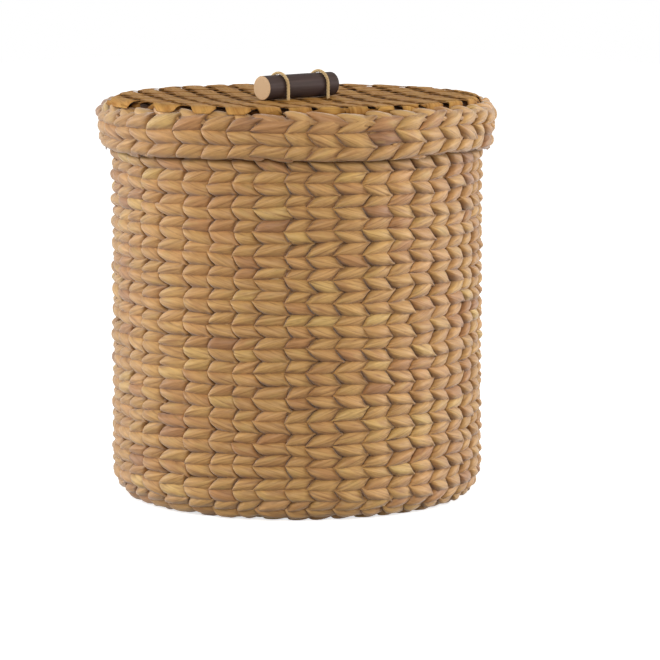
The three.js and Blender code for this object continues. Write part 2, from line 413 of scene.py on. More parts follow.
def folds_across(rng, place):
    """Long folds down each stalk, 0 on the ridges and down to -1 in the valleys.

    place is how far across its stalk each point lies, in half widths, as tube, ring, side.
    """
    folds = np.zeros(place.shape)
    for weight in (0.6, 0.4):
        frequency = rng.uniform(1.0, 3.0, (len(place), 1, 1))
        shift = rng.uniform(0, math.pi, (len(place), 1, 1))
        wave = np.abs(np.sin(frequency * place * QUARTER + shift))
        folds += weight * (np.minimum(wave * 1.4, 1) ** 0.7 - 1)
    return folds


def section(sides):
    """Outline of a stalk's section: across, from 1 to -1 and back, and depth, 0 inside and 1 outside.

    The side at -1, which lies over the neighbours, is rounder than the side that they cover.
    """
    front = int(sides * 0.75)
    face = np.cos(np.linspace(0, math.pi, front))
    free_side = 1 - 0.9 * np.abs(face) ** 2.6
    covered_side = 1 - 0.7 * np.abs(face) ** 3.0
    rise = np.where(face < 0, free_side, covered_side)
    back = np.linspace(-0.85, 0.85, sides - front)
    return np.concatenate([face, back]), np.concatenate([rise, 0 * back])


def slanted_edge(place):
    """A leaf's slanted edge, from 1 on the course's edge down to 0 on the middle line.

    place is 0 at the leaf's start and 1 at the end of its neighbour's tail.
    """
    share = np.clip((place + 0.15) / 1.15, 0, 1)
    return 1 - 0.88 * np.sin(QUARTER * share) - 0.12 * np.clip((place - 1) / 0.16, 0, 1)


def varied(rng, count, spread):
    """A factor near 1 for each leaf."""
    return 1 + rng.uniform(-spread, spread, count)[:, None]


def leaf_outline(pitch, slope, tuck, rings):
    """The way along each leaf, its two edges in half widths, and how full it is near its ends."""
    tail = np.roll(slope, -1)
    share = np.linspace(0, 1, rings)[None, :]
    share = 0.7 * share + 0.3 * (0.5 - 0.5 * np.cos(math.pi * share))
    first = LEAF_START * slope
    last = pitch + LEAF_END * tail
    along = first + (last - first) * share
    ended = (along - pitch) / tail
    sag = TAIL_SAG * np.clip((along / pitch - 0.5) / 0.3, 0, 1) * np.clip(1.6 - ended, 0, 1)
    bottom = LEAF_BOTTOM - sag
    lower = bottom + (LEAF_TOP - bottom) * slanted_edge(along / slope)
    upper = bottom + (LEAF_TOP - bottom) * slanted_edge(ended) + tuck * (1 - 0.5 * ended)
    distance = np.minimum(along - first, last - along) / BLUNT_LENGTH
    blunt = np.sqrt(1 - (1 - np.clip(distance, 0.04, 1)) ** 2)
    return along, lower, np.minimum(upper, LEAF_TOP_LIMIT), blunt


def leaf_crown(along, pitch, rng, sizes):
    """How far the inner and the outer face of each leaf stand off the middle of the stakes."""
    count = len(along)
    over = np.clip(along / pitch - 0.5, -0.5, 0.5)
    gap_share = np.sin(math.pi * np.abs(over)) ** 2
    inner = sizes["seat"] * (1 - gap_share) - GAP_DEPTH * gap_share
    shift = rng.uniform(-0.05, 0.05, count)[:, None] * np.sin(math.pi * np.clip(along / pitch, 0, 1))
    belly = np.interp(along / pitch + shift, LEAF_PLACES, LEAF_RISE)
    belly = (belly + np.roll(belly, 1, axis=1) + np.roll(belly, -1, axis=1)) / 3
    crest = sizes["crest"] * varied(rng, count, CREST_SPREAD)
    return inner, crest + (belly - 1) * sizes["sink"] * varied(rng, count, SINK_SPREAD)


def twine_row(weave, row, gaps, rng, sizes, detail):
    """Adds the stitches of one row, one leaf over each stake between two gaps.

    A leaf starts behind its neighbour on the course's edge and widens down a slanted edge that lies
    over the neighbour's tail. Its own tail runs along the middle line, under the next leaf.
    """
    rings, sides = detail
    count = len(gaps)

    def for_each(values):
        return values[:, None, None]

    starts = gaps[:, 0] + rng.normal(0, START_SPREAD, count) / row.radius
    pitch = (np.append(starts[1:], starts[0] + FULL_TURN) - starts)[:, None] * row.radius
    slope = np.clip((gaps[:, 1] - gaps[:, 0]) * row.radius, *SLOPE_LENGTHS)[:, None]
    slope = slope * varied(rng, count, SLOPE_SPREAD)
    along, lower, upper, blunt = leaf_outline(pitch, slope, sizes["tuck"], rings)
    half = sizes["width"] / 2 * (row.height / sizes["row_height"])
    middle = (upper + lower) / 2 * half
    half_width = (upper - lower) / 2 * half * varied(rng, count, WIDTH_SPREAD) * blunt
    inner, outer = leaf_crown(along, pitch, rng, sizes)

    across, depth = section(sides)
    shown = depth > 0
    x = middle[:, :, None] + half_width[:, :, None] * across
    thick = (outer - inner)[:, :, None] * depth * (0.35 + 0.65 * blunt[:, :, None])
    along = along[:, :, None]
    pitch = pitch[:, :, None]
    lean = for_each(rng.uniform(*FIBRE_LEANS, count))
    fibre = (x + lean * (along - pitch / 2)) / (sizes["width"] / 2)
    folds = folds_across(rng, fibre) * shown
    ridge = (np.exp(-((fibre / 0.75) ** 2)) - 0.5) * sizes["ridge"] * shown
    y = inner[:, :, None] + thick + folds * sizes["crease"] + ridge - x * sizes["tilt"]

    face = -1.0 if row.inside else 1.0
    angle = for_each(starts) + along / row.radius
    flow = sum(high * np.sin(angle * waves + row.level * climb) for high, waves, climb in ROW_WAVES)
    askew = for_each(rng.normal(0, TILT_SPREAD, count)) * (along - pitch / 2)
    upwards = row.slant * face * x + for_each(rng.normal(0, RISE_SPREAD, count)) + askew + flow
    outwards = y + row.stand - row.curve * upwards**2 / 2
    radius = row.radius + face * outwards * row.out[0] + upwards * row.up[0]
    level = row.level + face * outwards * row.out[1] + upwards * row.up[1]
    if "lowest" in sizes:
        level = np.maximum(level, sizes["lowest"])
    places = stalk_places(
        along + for_each(rng.uniform(0, 40, count)),
        sizes["width"] / 2 * fibre + for_each(rng.uniform(0, 9, count)),
    )

    # Painted shade for stalk_shade: darker on the tail where it runs under the next leaf, in the valleys of
    # the folds, along the free lower edge (more so on rows of slant 1), and on the hidden inner side.
    share = along / pitch
    low_edge_shade = np.clip(-across, 0, 1) ** 3 * shown * np.clip(1.2 - share, 0, 1)
    under = 0.6 * np.clip(share - 0.8, 0, 0.5) / 0.5
    shade = under - folds * 0.6 + low_edge_shade * (1.0 if row.slant > 0 else 0.65) + ~shown * 0.6
    weave.add(polar(radius, angle, level), places, rng.uniform(0, 1, count), np.clip(shade, 0, 1))


def stitch_sizes(settings, **changes):
    """Measures of a stitch: its width, how far it stands off the stakes, its folds and its ridge."""
    sizes = {
        "width": settings.stitch_width,
        "crest": settings.stitch_crest,
        "seat": 1.7 * MM,
        "tuck": 0.30,
        "sink": 5.3 * MM,
        "ridge": 1.2 * MM,
        "tilt": 0.06,
        "row_height": 11.8 * MM,
        "crease": 0.8 * MM,
    }
    sizes.update(changes)
    return sizes


def weave_wall_course(index, settings, material):
    low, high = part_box(WALL_NODES[index])
    height = (high.z - low.z) / 2
    gaps = seen_gaps(settings.seed)
    rng = np.random.default_rng(settings.seed * 100 + index)
    weave = Weave()
    for inside, detail in ((False, FRONT_DETAIL), (True, BACK_DETAIL)):
        for half, slant, stand in ((0, -1, -SET_BACK), (1, 1, 0.0)):
            level = low.z + (half + 0.5) * height
            row = Row(STAKE_MIDDLE, level, (1, 0), slant, height, 0, inside, stand)
            twine_row(weave, row, gaps, rng, stitch_sizes(settings), detail)
    name = f"wall_course_{index + 1:02d}"
    piece = weave.make(name, material)
    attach(piece, "basket")
    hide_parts(WALL_NODES[index], WALL_NODES[index].replace("front", "back"))
    return piece


def weave_turn_course(index, settings, material):
    gaps = seen_gaps(settings.seed)
    rng = np.random.default_rng(settings.seed * 200 + index)
    rows = 2 * len(TURN_NODES)
    height = TURN_RADIUS * QUARTER / rows
    weave = Weave()
    for inside, detail in ((False, FRONT_DETAIL), (True, BACK_DETAIL)):
        for half, slant, stand in ((0, 1, 0.0), (1, -1, -SET_BACK)):
            angle = (2 * index + half + 0.5) * QUARTER / rows
            outward = (math.cos(angle), -math.sin(angle))
            radius = TURN_CENTRE + TURN_MIDDLE * outward[0]
            level = TURN_RADIUS + TURN_MIDDLE * outward[1]
            row = Row(radius, level, outward, slant, height, TURN_BEND, inside, stand)
            twine_row(weave, row, gaps, rng, stitch_sizes(settings, lowest=0.0), detail)
    piece = weave.make(f"turn_course_{index + 1}", material)
    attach(piece, "basket")
    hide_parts(TURN_NODES[index], TURN_NODES[index].replace("front", "back"))
    return piece


def weave_disc(name, node, level, outward, settings, material, seed):
    """Rounds of twining on the base, from its edge to its middle."""
    rng = np.random.default_rng(seed)
    weave = Weave()
    radius = BASE_EDGE - ROUND_PITCH / 2
    slant = 1
    sizes = stitch_sizes(settings, crest=4.4 * MM, seat=0.4 * MM, lowest=0.0)
    while radius > ROUND_PITCH * 0.4:
        count = max(FEWEST_STITCHES, round(FULL_TURN * radius / ROUND_STITCH))
        row = Row(radius, level, (0, outward), slant, ROUND_PITCH)
        twine_row(weave, row, even_gaps(count, rng), rng, sizes, BASE_DETAIL)
        radius -= ROUND_PITCH
        slant = -slant
    piece = weave.make(name, material)
    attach(piece, "basket")
    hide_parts(node)
    return piece


def weave_rim(settings, material):
    """The plaited border: stitches up the outside, over the top and down the inside of the rim."""
    gaps = seen_gaps(settings.seed)
    rng = np.random.default_rng(settings.seed + 31)
    weave = Weave()
    low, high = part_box("rim_border")
    height = high.z - low.z
    side_level = low.z + height * 0.30
    top_level = low.z + height * 0.45 + height * 0.16
    sizes = stitch_sizes(settings)
    rows = (
        Row(STAKE_MIDDLE, side_level, (1, 0), -1, height * 0.62),
        Row(STAKE_MIDDLE - 0.5 * MM, side_level, (1, 0), 1, height * 0.62, inside=True),
        Row(STAKE_MIDDLE + 1.5 * MM, top_level, (1, 0.9), 1, height * 0.68),
        Row(STAKE_MIDDLE - 1.5 * MM, top_level, (-1, 0.9), -1, height * 0.68),
    )
    for row in rows:
        twine_row(weave, row, gaps, rng, sizes, RIM_DETAIL)
    piece = weave.make("rim_border_plait", material)
    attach(piece, "basket")
    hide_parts("rim_border")
    return piece


# Stakes


# Flat stakes, and the hoop under the floor that binds their feet
STAKE_HALF_WIDTH = 4.4 * MM
STAKE_SIDES = 10
STAKE_LENGTH = 0.5
STAKE_FOOT = 98 * MM
HOOP_RADIUS = 96 * MM
HOOP_HALF_WIDTH = 3.2 * MM
HOOP_HALF_HEIGHT = 1.3 * MM


def stake_points(stakes):
    """Points of the stakes, which run down the wall, round its turn and in under the floor."""
    turn = np.linspace(0, QUARTER, 9)
    arc = np.stack(
        [TURN_CENTRE + TURN_MIDDLE * np.cos(turn), TURN_RADIUS - TURN_MIDDLE * np.sin(turn)], axis=1
    )
    top = np.array([[STAKE_MIDDLE, STAKE_TOP]])
    foot = np.array([[STAKE_FOOT, TURN_RADIUS - TURN_MIDDLE]])
    path = np.concatenate([top, arc, foot])
    arc_normals = np.stack([np.cos(turn), -np.sin(turn)], axis=1)
    normals = np.concatenate([[[1, 0]], arc_normals, [[0, -1]]])
    around = angles_round(STAKE_SIDES, 0.5)
    out = flattened(np.cos(around), 0.5) * LEG_THICKNESS / 2
    aside = flattened(np.sin(around), 0.6) * STAKE_HALF_WIDTH
    radius = path[:, :1] + normals[:, :1] * out
    level = path[:, 1:] + normals[:, 1:] * out
    angle = stakes[:, None, None]
    x = radius * np.cos(angle) - aside * np.sin(angle)
    y = radius * np.sin(angle) + aside * np.cos(angle)
    return np.stack(np.broadcast_arrays(x, y, level), axis=-1), aside


def make_stakes(settings, material):
    gaps = seen_gaps(settings.seed)
    after = np.append(gaps[1:, 0], gaps[0, 0] + FULL_TURN)
    stakes = (gaps[:, 1] + after) / 2
    rng = np.random.default_rng(settings.seed + 57)
    points, aside = stake_points(stakes)
    along = np.linspace(0, STAKE_LENGTH, points.shape[1])[None, :, None]
    places = stalk_places(along, aside + rng.uniform(0, 9, len(stakes))[:, None, None])
    weave = Weave()
    weave.add(points, places, rng.uniform(0, 1, len(stakes)))
    round_hoop = np.linspace(0, FULL_TURN, 97)[:, None]
    around = angles_round(8)
    hoop_radius = HOOP_RADIUS + HOOP_HALF_WIDTH * np.cos(around)
    hoop_level = LEG_LEVEL + HOOP_HALF_HEIGHT * np.sin(around)
    hoop = polar(hoop_radius, round_hoop, hoop_level)[None]
    weave.add(hoop, hoop, np.array([0.5]))
    piece = weave.make("stakes", material)
    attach(piece, "basket")
    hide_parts("stake_cage")
    return piece


# Lid


# Surface of the lid's top: a shallow dish with a round shoulder
LID_FLAT = 60 * MM
LID_DISH = 4 * MM
SHOULDER_RADIUS = 12 * MM
SHOULDER_START = LID_UPPER[1].x / FLAT_RATIO - 10.3 * MM - SHOULDER_RADIUS
EDGE_BEND = 11 * MM

# Flat strips: their section and how strongly they wave over and under each other, then the pitch and
# width of the second family as shares of the first, which is pinched between the first one's strips
STRIP_THICKNESS = 0.7 * MM
STRIP_WAVE = 0.55 * MM
STRIP_STEP = 3.0 * MM
STRIP_SIDES = 16
STRIP_LEVEL = LID_PANEL[1].z - STRIP_WAVE - STRIP_THICKNESS / 2 - 0.2 * MM
STRIP_TONES = ((0.25, 0.55), (0.35, 0.75))
SECOND_PITCH = 0.93
SECOND_WIDTH = 1.12
PINCH_WIDTH = 6 * MM

# Ends of the strips: flaps folded down outside the shoulder, or tucked in behind it
FLAP_REACH = SHOULDER_START + SHOULDER_RADIUS * 1.22
FLAP_LENGTH = 12 * MM
FLAP_RISE = 5.4 * MM
FLAPS_FROM, FLAPS_TO = -84, -12
TUCK_REACH = SHOULDER_START + SHOULDER_RADIUS * 0.95
TUCK_DROP = 3.8 * MM
SHORTEST_STRIP = 3 * MM

# Closed layer below the strips
LINING_REACH = SHOULDER_START + SHOULDER_RADIUS * 0.55
LINING_DEPTH = 4.2 * MM
LINING_THICKNESS = 0.8 * MM
LINING_SLOPE = 0.4 * MM
LINING_PITCH = 20 * MM
LINING_OVERLAP = 1.12

# Rows of the skirt
SKIRT_ROW = 13 * MM
SKIRT_LEAN = 3 * MM
UPPER_ROW = 12.6 * MM
SKIRT_TWIST = math.radians(0.9)
BACK_CREST = 3.4 * MM


def lid_profile(distance, edge_level):
    """Radius, level and outward way of the lid's top at a distance from its middle, over the edge."""
    dished = np.clip((distance - LID_FLAT) / (SHOULDER_START - LID_FLAT), 0, 1)
    level = edge_level - LID_DISH * (1 - smooth(dished))
    over = np.clip((distance - SHOULDER_START) / SHOULDER_RADIUS, 0, QUARTER)
    fall = np.maximum(distance - SHOULDER_START - SHOULDER_RADIUS * QUARTER, 0)
    radius = np.minimum(distance, SHOULDER_START) + SHOULDER_RADIUS * np.sin(over)
    level = level - SHOULDER_RADIUS * (1 - np.cos(over)) - fall
    return radius, level, np.sin(over), np.cos(over)


def lid_points(distance, angle, lift, edge_level):
    """Points that stand off the surface of the lid's top by lift."""
    radius, level, out, up = lid_profile(distance, edge_level)
    return polar(radius + lift * out, angle, level + lift * up)


def over_edge(distance):
    """How far the strips have bent over the shoulder, from 0 to 1."""
    return smooth(np.clip((distance - SHOULDER_START) / EDGE_BEND, 0, 1))


def heading_ways(angle):
    """The ways along and across strips that run at an angle."""
    ahead = np.array([math.cos(angle), math.sin(angle)])
    return ahead, np.array([-ahead[1], ahead[0]])


def flap_at(family, angle):
    """Whether a strip's end is folded down outside the shoulder, as the photograph shows it."""
    seen = (math.degrees(angle) - VIEW_AZIMUTH + 90 + 180) % 360 - 180
    return family == 0 and FLAPS_FROM < seen < FLAPS_TO


def strip_ends(family, offset, half, across, ways):
    """Where the two ends of a strip lie along it, round its section, and whether each is a flap."""
    ends = []
    for end in (-1, 1):
        tip = end * math.sqrt(FLAP_REACH**2 - offset**2) * ways[0] + offset * ways[1]
        flap = flap_at(family, math.atan2(tip[1], tip[0]))
        if flap:
            side = abs(offset) - half
            place = math.sqrt((SHOULDER_START + 1 * MM) ** 2 - side**2) + FLAP_LENGTH + 0 * across
        else:
            reach = max(TUCK_REACH, abs(offset) + 1 * MM)
            side = np.clip(offset + half * across, -0.995 * reach, 0.995 * reach)
            place = np.sqrt(reach**2 - side**2)
        ends.append((end * place, flap))
    return ends


def add_strip(weave, rng, family, ways, offset, width, crossed, sign):
    """One flat strip of the lid's top, over and under the strips that it crosses.

    ways are the ways along and across it, crossed holds the pitch and the number of the strips of the
    other family, and sign is 1 where it starts over them and -1 where it starts under them.
    """
    around = angles_round(STRIP_SIDES, 0.5)
    across = flattened(np.cos(around), 0.7)
    through = flattened(np.sin(around), 0.6)
    half = width / 2 * (1 + rng.uniform(-0.06, 0.06))
    ends = strip_ends(family, offset, half, across, ways)
    (first, _), (last, _) = ends
    rings = int(np.ptp([first, last]) / STRIP_STEP) + 2
    s = first + (last - first) * np.linspace(0, 1, rings)[:, None]
    near_edge = np.clip((np.hypot(s, offset) - SHOULDER_START + 16 * MM) / (20 * MM), 0, 1)
    beat = np.cos(math.pi * (s / crossed[0] + (crossed[1] - 1) / 2))
    open_share = np.ones(s.shape)
    if family:
        open_share = np.clip((np.abs(beat) - 0.42) / 0.30, 0, 1)
        pinch = PINCH_WIDTH / 2 * (1 + rng.uniform(-0.3, 0.5))
        half = pinch + (half - pinch) * smooth(open_share)
    wander = rng.uniform(0.3, 1.0) * MM * np.sin(s / (70 * MM) + rng.uniform(0, 6))
    x = half * across + 0 * s
    wave = np.sign(beat) * np.minimum(np.abs(beat) * 1.5, 1)
    crown = 0.3 * MM * (1 - across**4) - 0.2 * MM
    drift = 0.25 * np.sin(s / (60 * MM) + rng.uniform(0, 6)) + rng.uniform(-9, 9)
    folds = folds_across(rng, (across + drift)[None])[0]
    lift = sign * STRIP_WAVE * wave + STRIP_THICKNESS / 2 * through + crown + folds * 0.2 * MM
    place = s[..., None] * ways[0] + (offset + wander * (1 - near_edge) + x)[..., None] * ways[1]
    distance = np.minimum(np.hypot(place[..., 0], place[..., 1]), FLAP_REACH)
    angle = np.arctan2(place[..., 1], place[..., 0])
    # How far each end is tucked in under the shoulder, for the painted shadow on the tucked ends
    tucked = 0
    for (_, flap), end in zip(ends, (-1, 1)):
        bent = np.where(s * end > 0, over_edge(distance), 0)
        lift = lift + (FLAP_RISE if flap else -TUCK_DROP) * bent
        tucked = tucked + (0 if flap else bent)
    points = lid_points(distance, angle, lift, STRIP_LEVEL)[None]
    tone = rng.uniform(*STRIP_TONES[family])
    wide = x + rng.uniform(0, 9)
    places = stalk_places(s + rng.uniform(0, 40), wide)[None]
    # Painted shade for stalk_shade: darker in the valleys of the folds, along the strips' rims, where the
    # second family is pinched, over the flat middle of the top, and most on the ends tucked in under the
    # shoulder.
    shade = -folds * 0.5 + np.abs(across) ** 8 * 0.5 + (1 - open_share) * 0.5
    shade = shade + 0.25 * (1 - near_edge) + 0.6 * tucked
    weave.add(points, places, np.array([tone]), np.clip(shade, 0, 1))


def weave_lid_panel(settings, material):
    """Two families of flat strips in plain weave, their ends bent down over the edge or tucked in."""
    rng = np.random.default_rng(settings.seed + 5)
    weave = Weave()
    pitches = (settings.strip_pitch, settings.strip_pitch * SECOND_PITCH)
    widths = (settings.strip_width, settings.strip_width * SECOND_WIDTH)
    counts = [int(2 * FLAP_REACH / pitch) + 1 for pitch in pitches]
    for family in (0, 1):
        ways = heading_ways(settings.strip_angle + family * QUARTER)
        crossed = (pitches[1 - family], counts[1 - family])
        for index in range(counts[family]):
            offset = (index - (counts[family] - 1) / 2) * pitches[family]
            if FLAP_REACH - abs(offset) < SHORTEST_STRIP:
                continue
            parity = index if family == 0 else counts[family] - index
            sign = 1 if parity % 2 == 0 else -1
            add_strip(weave, rng, family, ways, offset, widths[family], crossed, sign)
    piece = weave.make("lid_top_strips", material)
    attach(piece, "lid")
    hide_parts("lid_panel")
    return piece


def weave_lid_lining(settings, material):
    """The closed inner layer of the lid: overlapping strips in painted shade, which make the openings above
    them look dark.
    """
    rng = np.random.default_rng(settings.seed + 6)
    weave = Weave()
    ahead, aside = heading_ways(settings.strip_angle)
    across = np.concatenate([np.linspace(1, -1, 7), np.linspace(-1, 1, 7)])
    through = np.concatenate([np.full(7, 0.5), np.full(7, -0.5)])
    count = int(2 * LINING_REACH / LINING_PITCH)
    for index in range(count):
        offset = (index - (count - 1) / 2) * LINING_PITCH
        side = offset + across * LINING_PITCH * LINING_OVERLAP / 2
        end = np.sqrt(np.maximum(LINING_REACH**2 - side**2, MM**2))
        s = np.linspace(-1, 1, 40)[:, None] * end
        place = s[..., None] * ahead + (side + 0 * s)[..., None] * aside
        distance = np.minimum(np.hypot(place[..., 0], place[..., 1]), LINING_REACH)
        angle = np.arctan2(place[..., 1], place[..., 0])
        lift = LINING_THICKNESS * through + LINING_SLOPE * across - TUCK_DROP * over_edge(distance)
        points = lid_points(distance, angle, lift, STRIP_LEVEL - LINING_DEPTH)[None]
        places = stalk_places(s + rng.uniform(0, 9), side)[None]
        # Painted shade over the whole of the lining
        weave.add(points, places, rng.uniform(0.3, 0.6, 1), 1.0 + 0 * s)
    piece = weave.make("lid_lining_strips", material)
    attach(piece, "lid")
    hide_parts("lid_panel")
    return piece


def skirt_row(node_box, share, height, slant, crest, settings):
    """A row of the skirt at a share of its course's height, with its crest at the given radius."""
    low, high = node_box
    level = low.z + share * (high.z - low.z)
    return Row(crest - settings.stitch_crest, level, (1, 0), slant, height)


def weave_lid_skirt(settings, material):
    rng = np.random.default_rng(settings.seed + 8)
    gaps = seen_gaps(settings.seed) + [0, SKIRT_TWIST]
    lower_crest = LID_LOWER[1].x / FLAT_RATIO
    upper_crest = LID_UPPER[1].x / FLAT_RATIO
    pair = ((0.25, -1), (0.75, 1))
    sizes = stitch_sizes(settings)

    lower = Weave()
    for share, slant in pair:
        crest = lower_crest - (0.75 - share) * SKIRT_LEAN
        row = skirt_row(LID_LOWER, share, SKIRT_ROW, slant, crest, settings)
        twine_row(lower, row, gaps, rng, sizes, FRONT_DETAIL)

    upper = Weave()
    row = skirt_row(LID_UPPER, 0.40, UPPER_ROW, -1, upper_crest, settings)
    twine_row(upper, row, gaps, rng, sizes, FRONT_DETAIL)

    shoulder = Weave()
    row = Row(upper_crest - 11.4 * MM, LID_UPPER[1].z - 3.6 * MM, (0.60, 0.80), 1, UPPER_ROW)
    shoulder_sizes = stitch_sizes(settings, crest=6.4 * MM, seat=0.5 * MM)
    twine_row(shoulder, row, gaps, rng, shoulder_sizes, FRONT_DETAIL)

    back = Weave()
    radius = LID_BACK[1].x / FLAT_RATIO
    back_sizes = stitch_sizes(settings, crest=BACK_CREST, seat=0)
    for share, slant in pair:
        level = LID_BACK[0].z + share * (LID_BACK[1].z - LID_BACK[0].z)
        row = Row(radius, level, (1, 0), slant, SKIRT_ROW, inside=True)
        twine_row(back, row, gaps, rng, back_sizes, BACK_DETAIL)

    pieces = [
        (lower.make("lid_skirt_lower", material), "lid_course_lower"),
        (upper.make("lid_skirt_upper", material), "lid_course_upper"),
        (shoulder.make("lid_skirt_shoulder", material), "lid_course_shoulder"),
        (back.make("lid_skirt_back", material), "lid_course_back"),
    ]
    for piece, node in pieces:
        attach(piece, "lid")
        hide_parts(node)
    return pieces


# Handle


# Dowel: the sides of its solid, the room that its loops need when it turns, and its own mesh
SOLID_DOWEL_SIDES = 24
LOOP_ROOM = 0.12 * MM
DOWEL_SIDES = 64
DOWEL_ROUND = 0.9 * MM
DOWEL_WOBBLE = 0.05 * MM

# Twine: how its three plies lie round each other, how it bends into the lid, and its knot
TWINE = 3.5 * MM
PLIES = 3
PLY_SIDES = 10
PLY_RADIUS = TWINE * 0.27
PLY_OFFSET = TWINE * 0.23
PLY_TURN = 9.5 * MM
PLY_STEP = 0.7 * MM
LOOP_BEND = 2.4 * MM
LOOP_FOOT = 9 * MM
KNOT_TURNS = 2.5
KNOT_LEVEL = 4.4 * MM
KNOT_RADIUS = 2.9 * MM
KNOT_HALF_WIDTH = 1.1 * MM
KNOT_TWINE_RADIUS = 1.7 * MM
TWINE_WRAP = 0.0008


def make_dowel(materials):
    radius = (DOWEL[1].z - DOWEL[0].z) / 2 / math.cos(math.pi / SOLID_DOWEL_SIDES) - LOOP_ROOM
    half = DOWEL[1].x
    body = [(x, radius) for x in np.linspace(0, half - DOWEL_ROUND * 1.6, 12)]
    edge_x, edge_radius = half - DOWEL_ROUND, radius - DOWEL_ROUND
    edge = [
        (edge_x + DOWEL_ROUND * math.sin(a), edge_radius + DOWEL_ROUND * math.cos(a))
        for a in np.linspace(0, QUARTER, 4)
    ]
    core = [(half, radius * share) for share in (0.75, 0.45, 0.15)]
    right = np.array(body + edge + core)
    left = right[1:][::-1] * [-1, 1]
    profile = np.concatenate([left, right])
    around = angles_round(DOWEL_SIDES)
    x = profile[:, :1]
    wobble = DOWEL_WOBBLE * np.sin(x * 130 + 2 * np.cos(around))
    ring = profile[:, 1:] + wobble * (profile[:, 1:] > radius * 0.97)
    points = np.stack([x + 0 * ring, ring * np.cos(around), DOWEL_LEVEL + ring * np.sin(around)], axis=-1)
    quads = tube_quads(1, len(profile), DOWEL_SIDES)
    middles = points.reshape(-1, 3)[quads].mean(axis=1)
    raw = np.abs(middles[:, 0]) > half - DOWEL_ROUND * 0.55
    mesh = quad_mesh("handle_dowel_wood", points.reshape(-1, 3), quads, raw)
    piece = new_object("handle_dowel_wood", mesh, materials)
    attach(piece, "dowel")
    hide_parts("handle_dowel")
    return piece


def loop_route(radius, leg):
    """Points of a loop in the plane across the dowel: knot, leg, arch, leg, knot."""
    under = [(x, -leg) for x in np.linspace(0, LOOP_BEND - radius, 8)]
    corner = [
        (LOOP_BEND - radius - LOOP_BEND * math.sin(a), LOOP_BEND - leg - LOOP_BEND * math.cos(a))
        for a in np.linspace(0, QUARTER, 5)[1:]
    ]
    rise = [(-radius, z) for z in np.linspace(LOOP_BEND - leg, 0, 8)[1:]]
    arch = [(-radius * math.cos(a), radius * math.sin(a)) for a in np.linspace(0, QUARTER, 13)[1:]]
    half = np.array(under + corner + rise + arch)
    other = half[:-1][::-1] * [-1, 1]
    return np.concatenate([half, other])


def resample(route, spacing):
    """The route in even steps, and how far along it each of them lies."""
    steps = np.hypot(*np.diff(route, axis=0).T)
    travelled = np.concatenate([[0], np.cumsum(steps)])
    count = int(travelled[-1] / spacing) + 1
    wanted = np.linspace(0, travelled[-1], count)
    return np.stack([np.interp(wanted, travelled, route[:, i]) for i in (0, 1)], axis=1), wanted


def add_plies(weave, rng, place, path, travelled):
    """The three plies of twine along a route in the plane across the dowel at a place along it."""
    ahead = np.gradient(path, axis=0)
    ahead /= np.hypot(*ahead.T)[:, None]
    normal = np.stack([-ahead[:, 1], ahead[:, 0]], axis=1)
    around = angles_round(PLY_SIDES)
    lean = rng.uniform(-0.4, 0.4) * MM * np.sin(travelled / (16 * MM))
    for ply in range(PLIES):
        twist = FULL_TURN * (travelled / PLY_TURN + ply / PLIES)
        side = PLY_OFFSET * np.cos(twist) + lean
        out = PLY_OFFSET * np.sin(twist)
        swell = PLY_RADIUS * (1 + 0.08 * np.sin(travelled / (1.7 * MM) + ply * 2.1))
        x = place + side[:, None] + swell[:, None] * np.cos(around)
        flat = out[:, None] + swell[:, None] * np.sin(around)
        y = path[:, :1] + flat * normal[:, :1]
        z = DOWEL_LEVEL + path[:, 1:] + flat * normal[:, 1:]
        places = stalk_places(travelled[:, None], TWINE_WRAP * around + ply)[None]
        weave.add(np.stack([x, y, z], axis=-1)[None], places, rng.uniform(0.3, 0.7, 1))


def add_knot(weave, place, level):
    """The knot under the lid: a few turns of twine across the loop."""
    turn = np.linspace(0, FULL_TURN * KNOT_TURNS, 60)
    aside = KNOT_HALF_WIDTH * np.sin(turn * 0.4)
    path = np.stack([place + KNOT_RADIUS * np.cos(turn), aside, level + KNOT_RADIUS * np.sin(turn)], axis=1)
    outward = path - np.array([place, 0, level])
    outward /= np.linalg.norm(outward, axis=1)[:, None]
    around = angles_round(PLY_SIDES)
    cosine = np.cos(around)[None, :, None]
    sine = np.sin(around)[None, :, None]
    tube = KNOT_TWINE_RADIUS * cosine * outward[:, None] + KNOT_TWINE_RADIUS * sine * np.array([0, 1, 0])
    places = stalk_places(turn[:, None] * 0.003, TWINE_WRAP * around)[None]
    weave.add((path[:, None] + tube)[None], places, np.array([0.5]))


def make_loop(index, material):
    low, high = LOOPS[index]
    place = (low.x + high.x) / 2
    leg = DOWEL_LEVEL - (low.z + LOOP_FOOT - TWINE)
    path, travelled = resample(loop_route(high.y - TWINE / 2, leg), PLY_STEP)
    weave = Weave()
    add_plies(weave, np.random.default_rng(70 + index), place, path, travelled)
    add_knot(weave, place, low.z + KNOT_LEVEL)
    piece = weave.make(f"handle_twine_{index + 1}", material)
    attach(piece, "lid")
    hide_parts(f"handle_loop_{index + 1}")
    return piece


# Materials


# Sockets of a Mix node that mixes colours
MIX_A, MIX_B, MIX_RESULT = 6, 7, 2


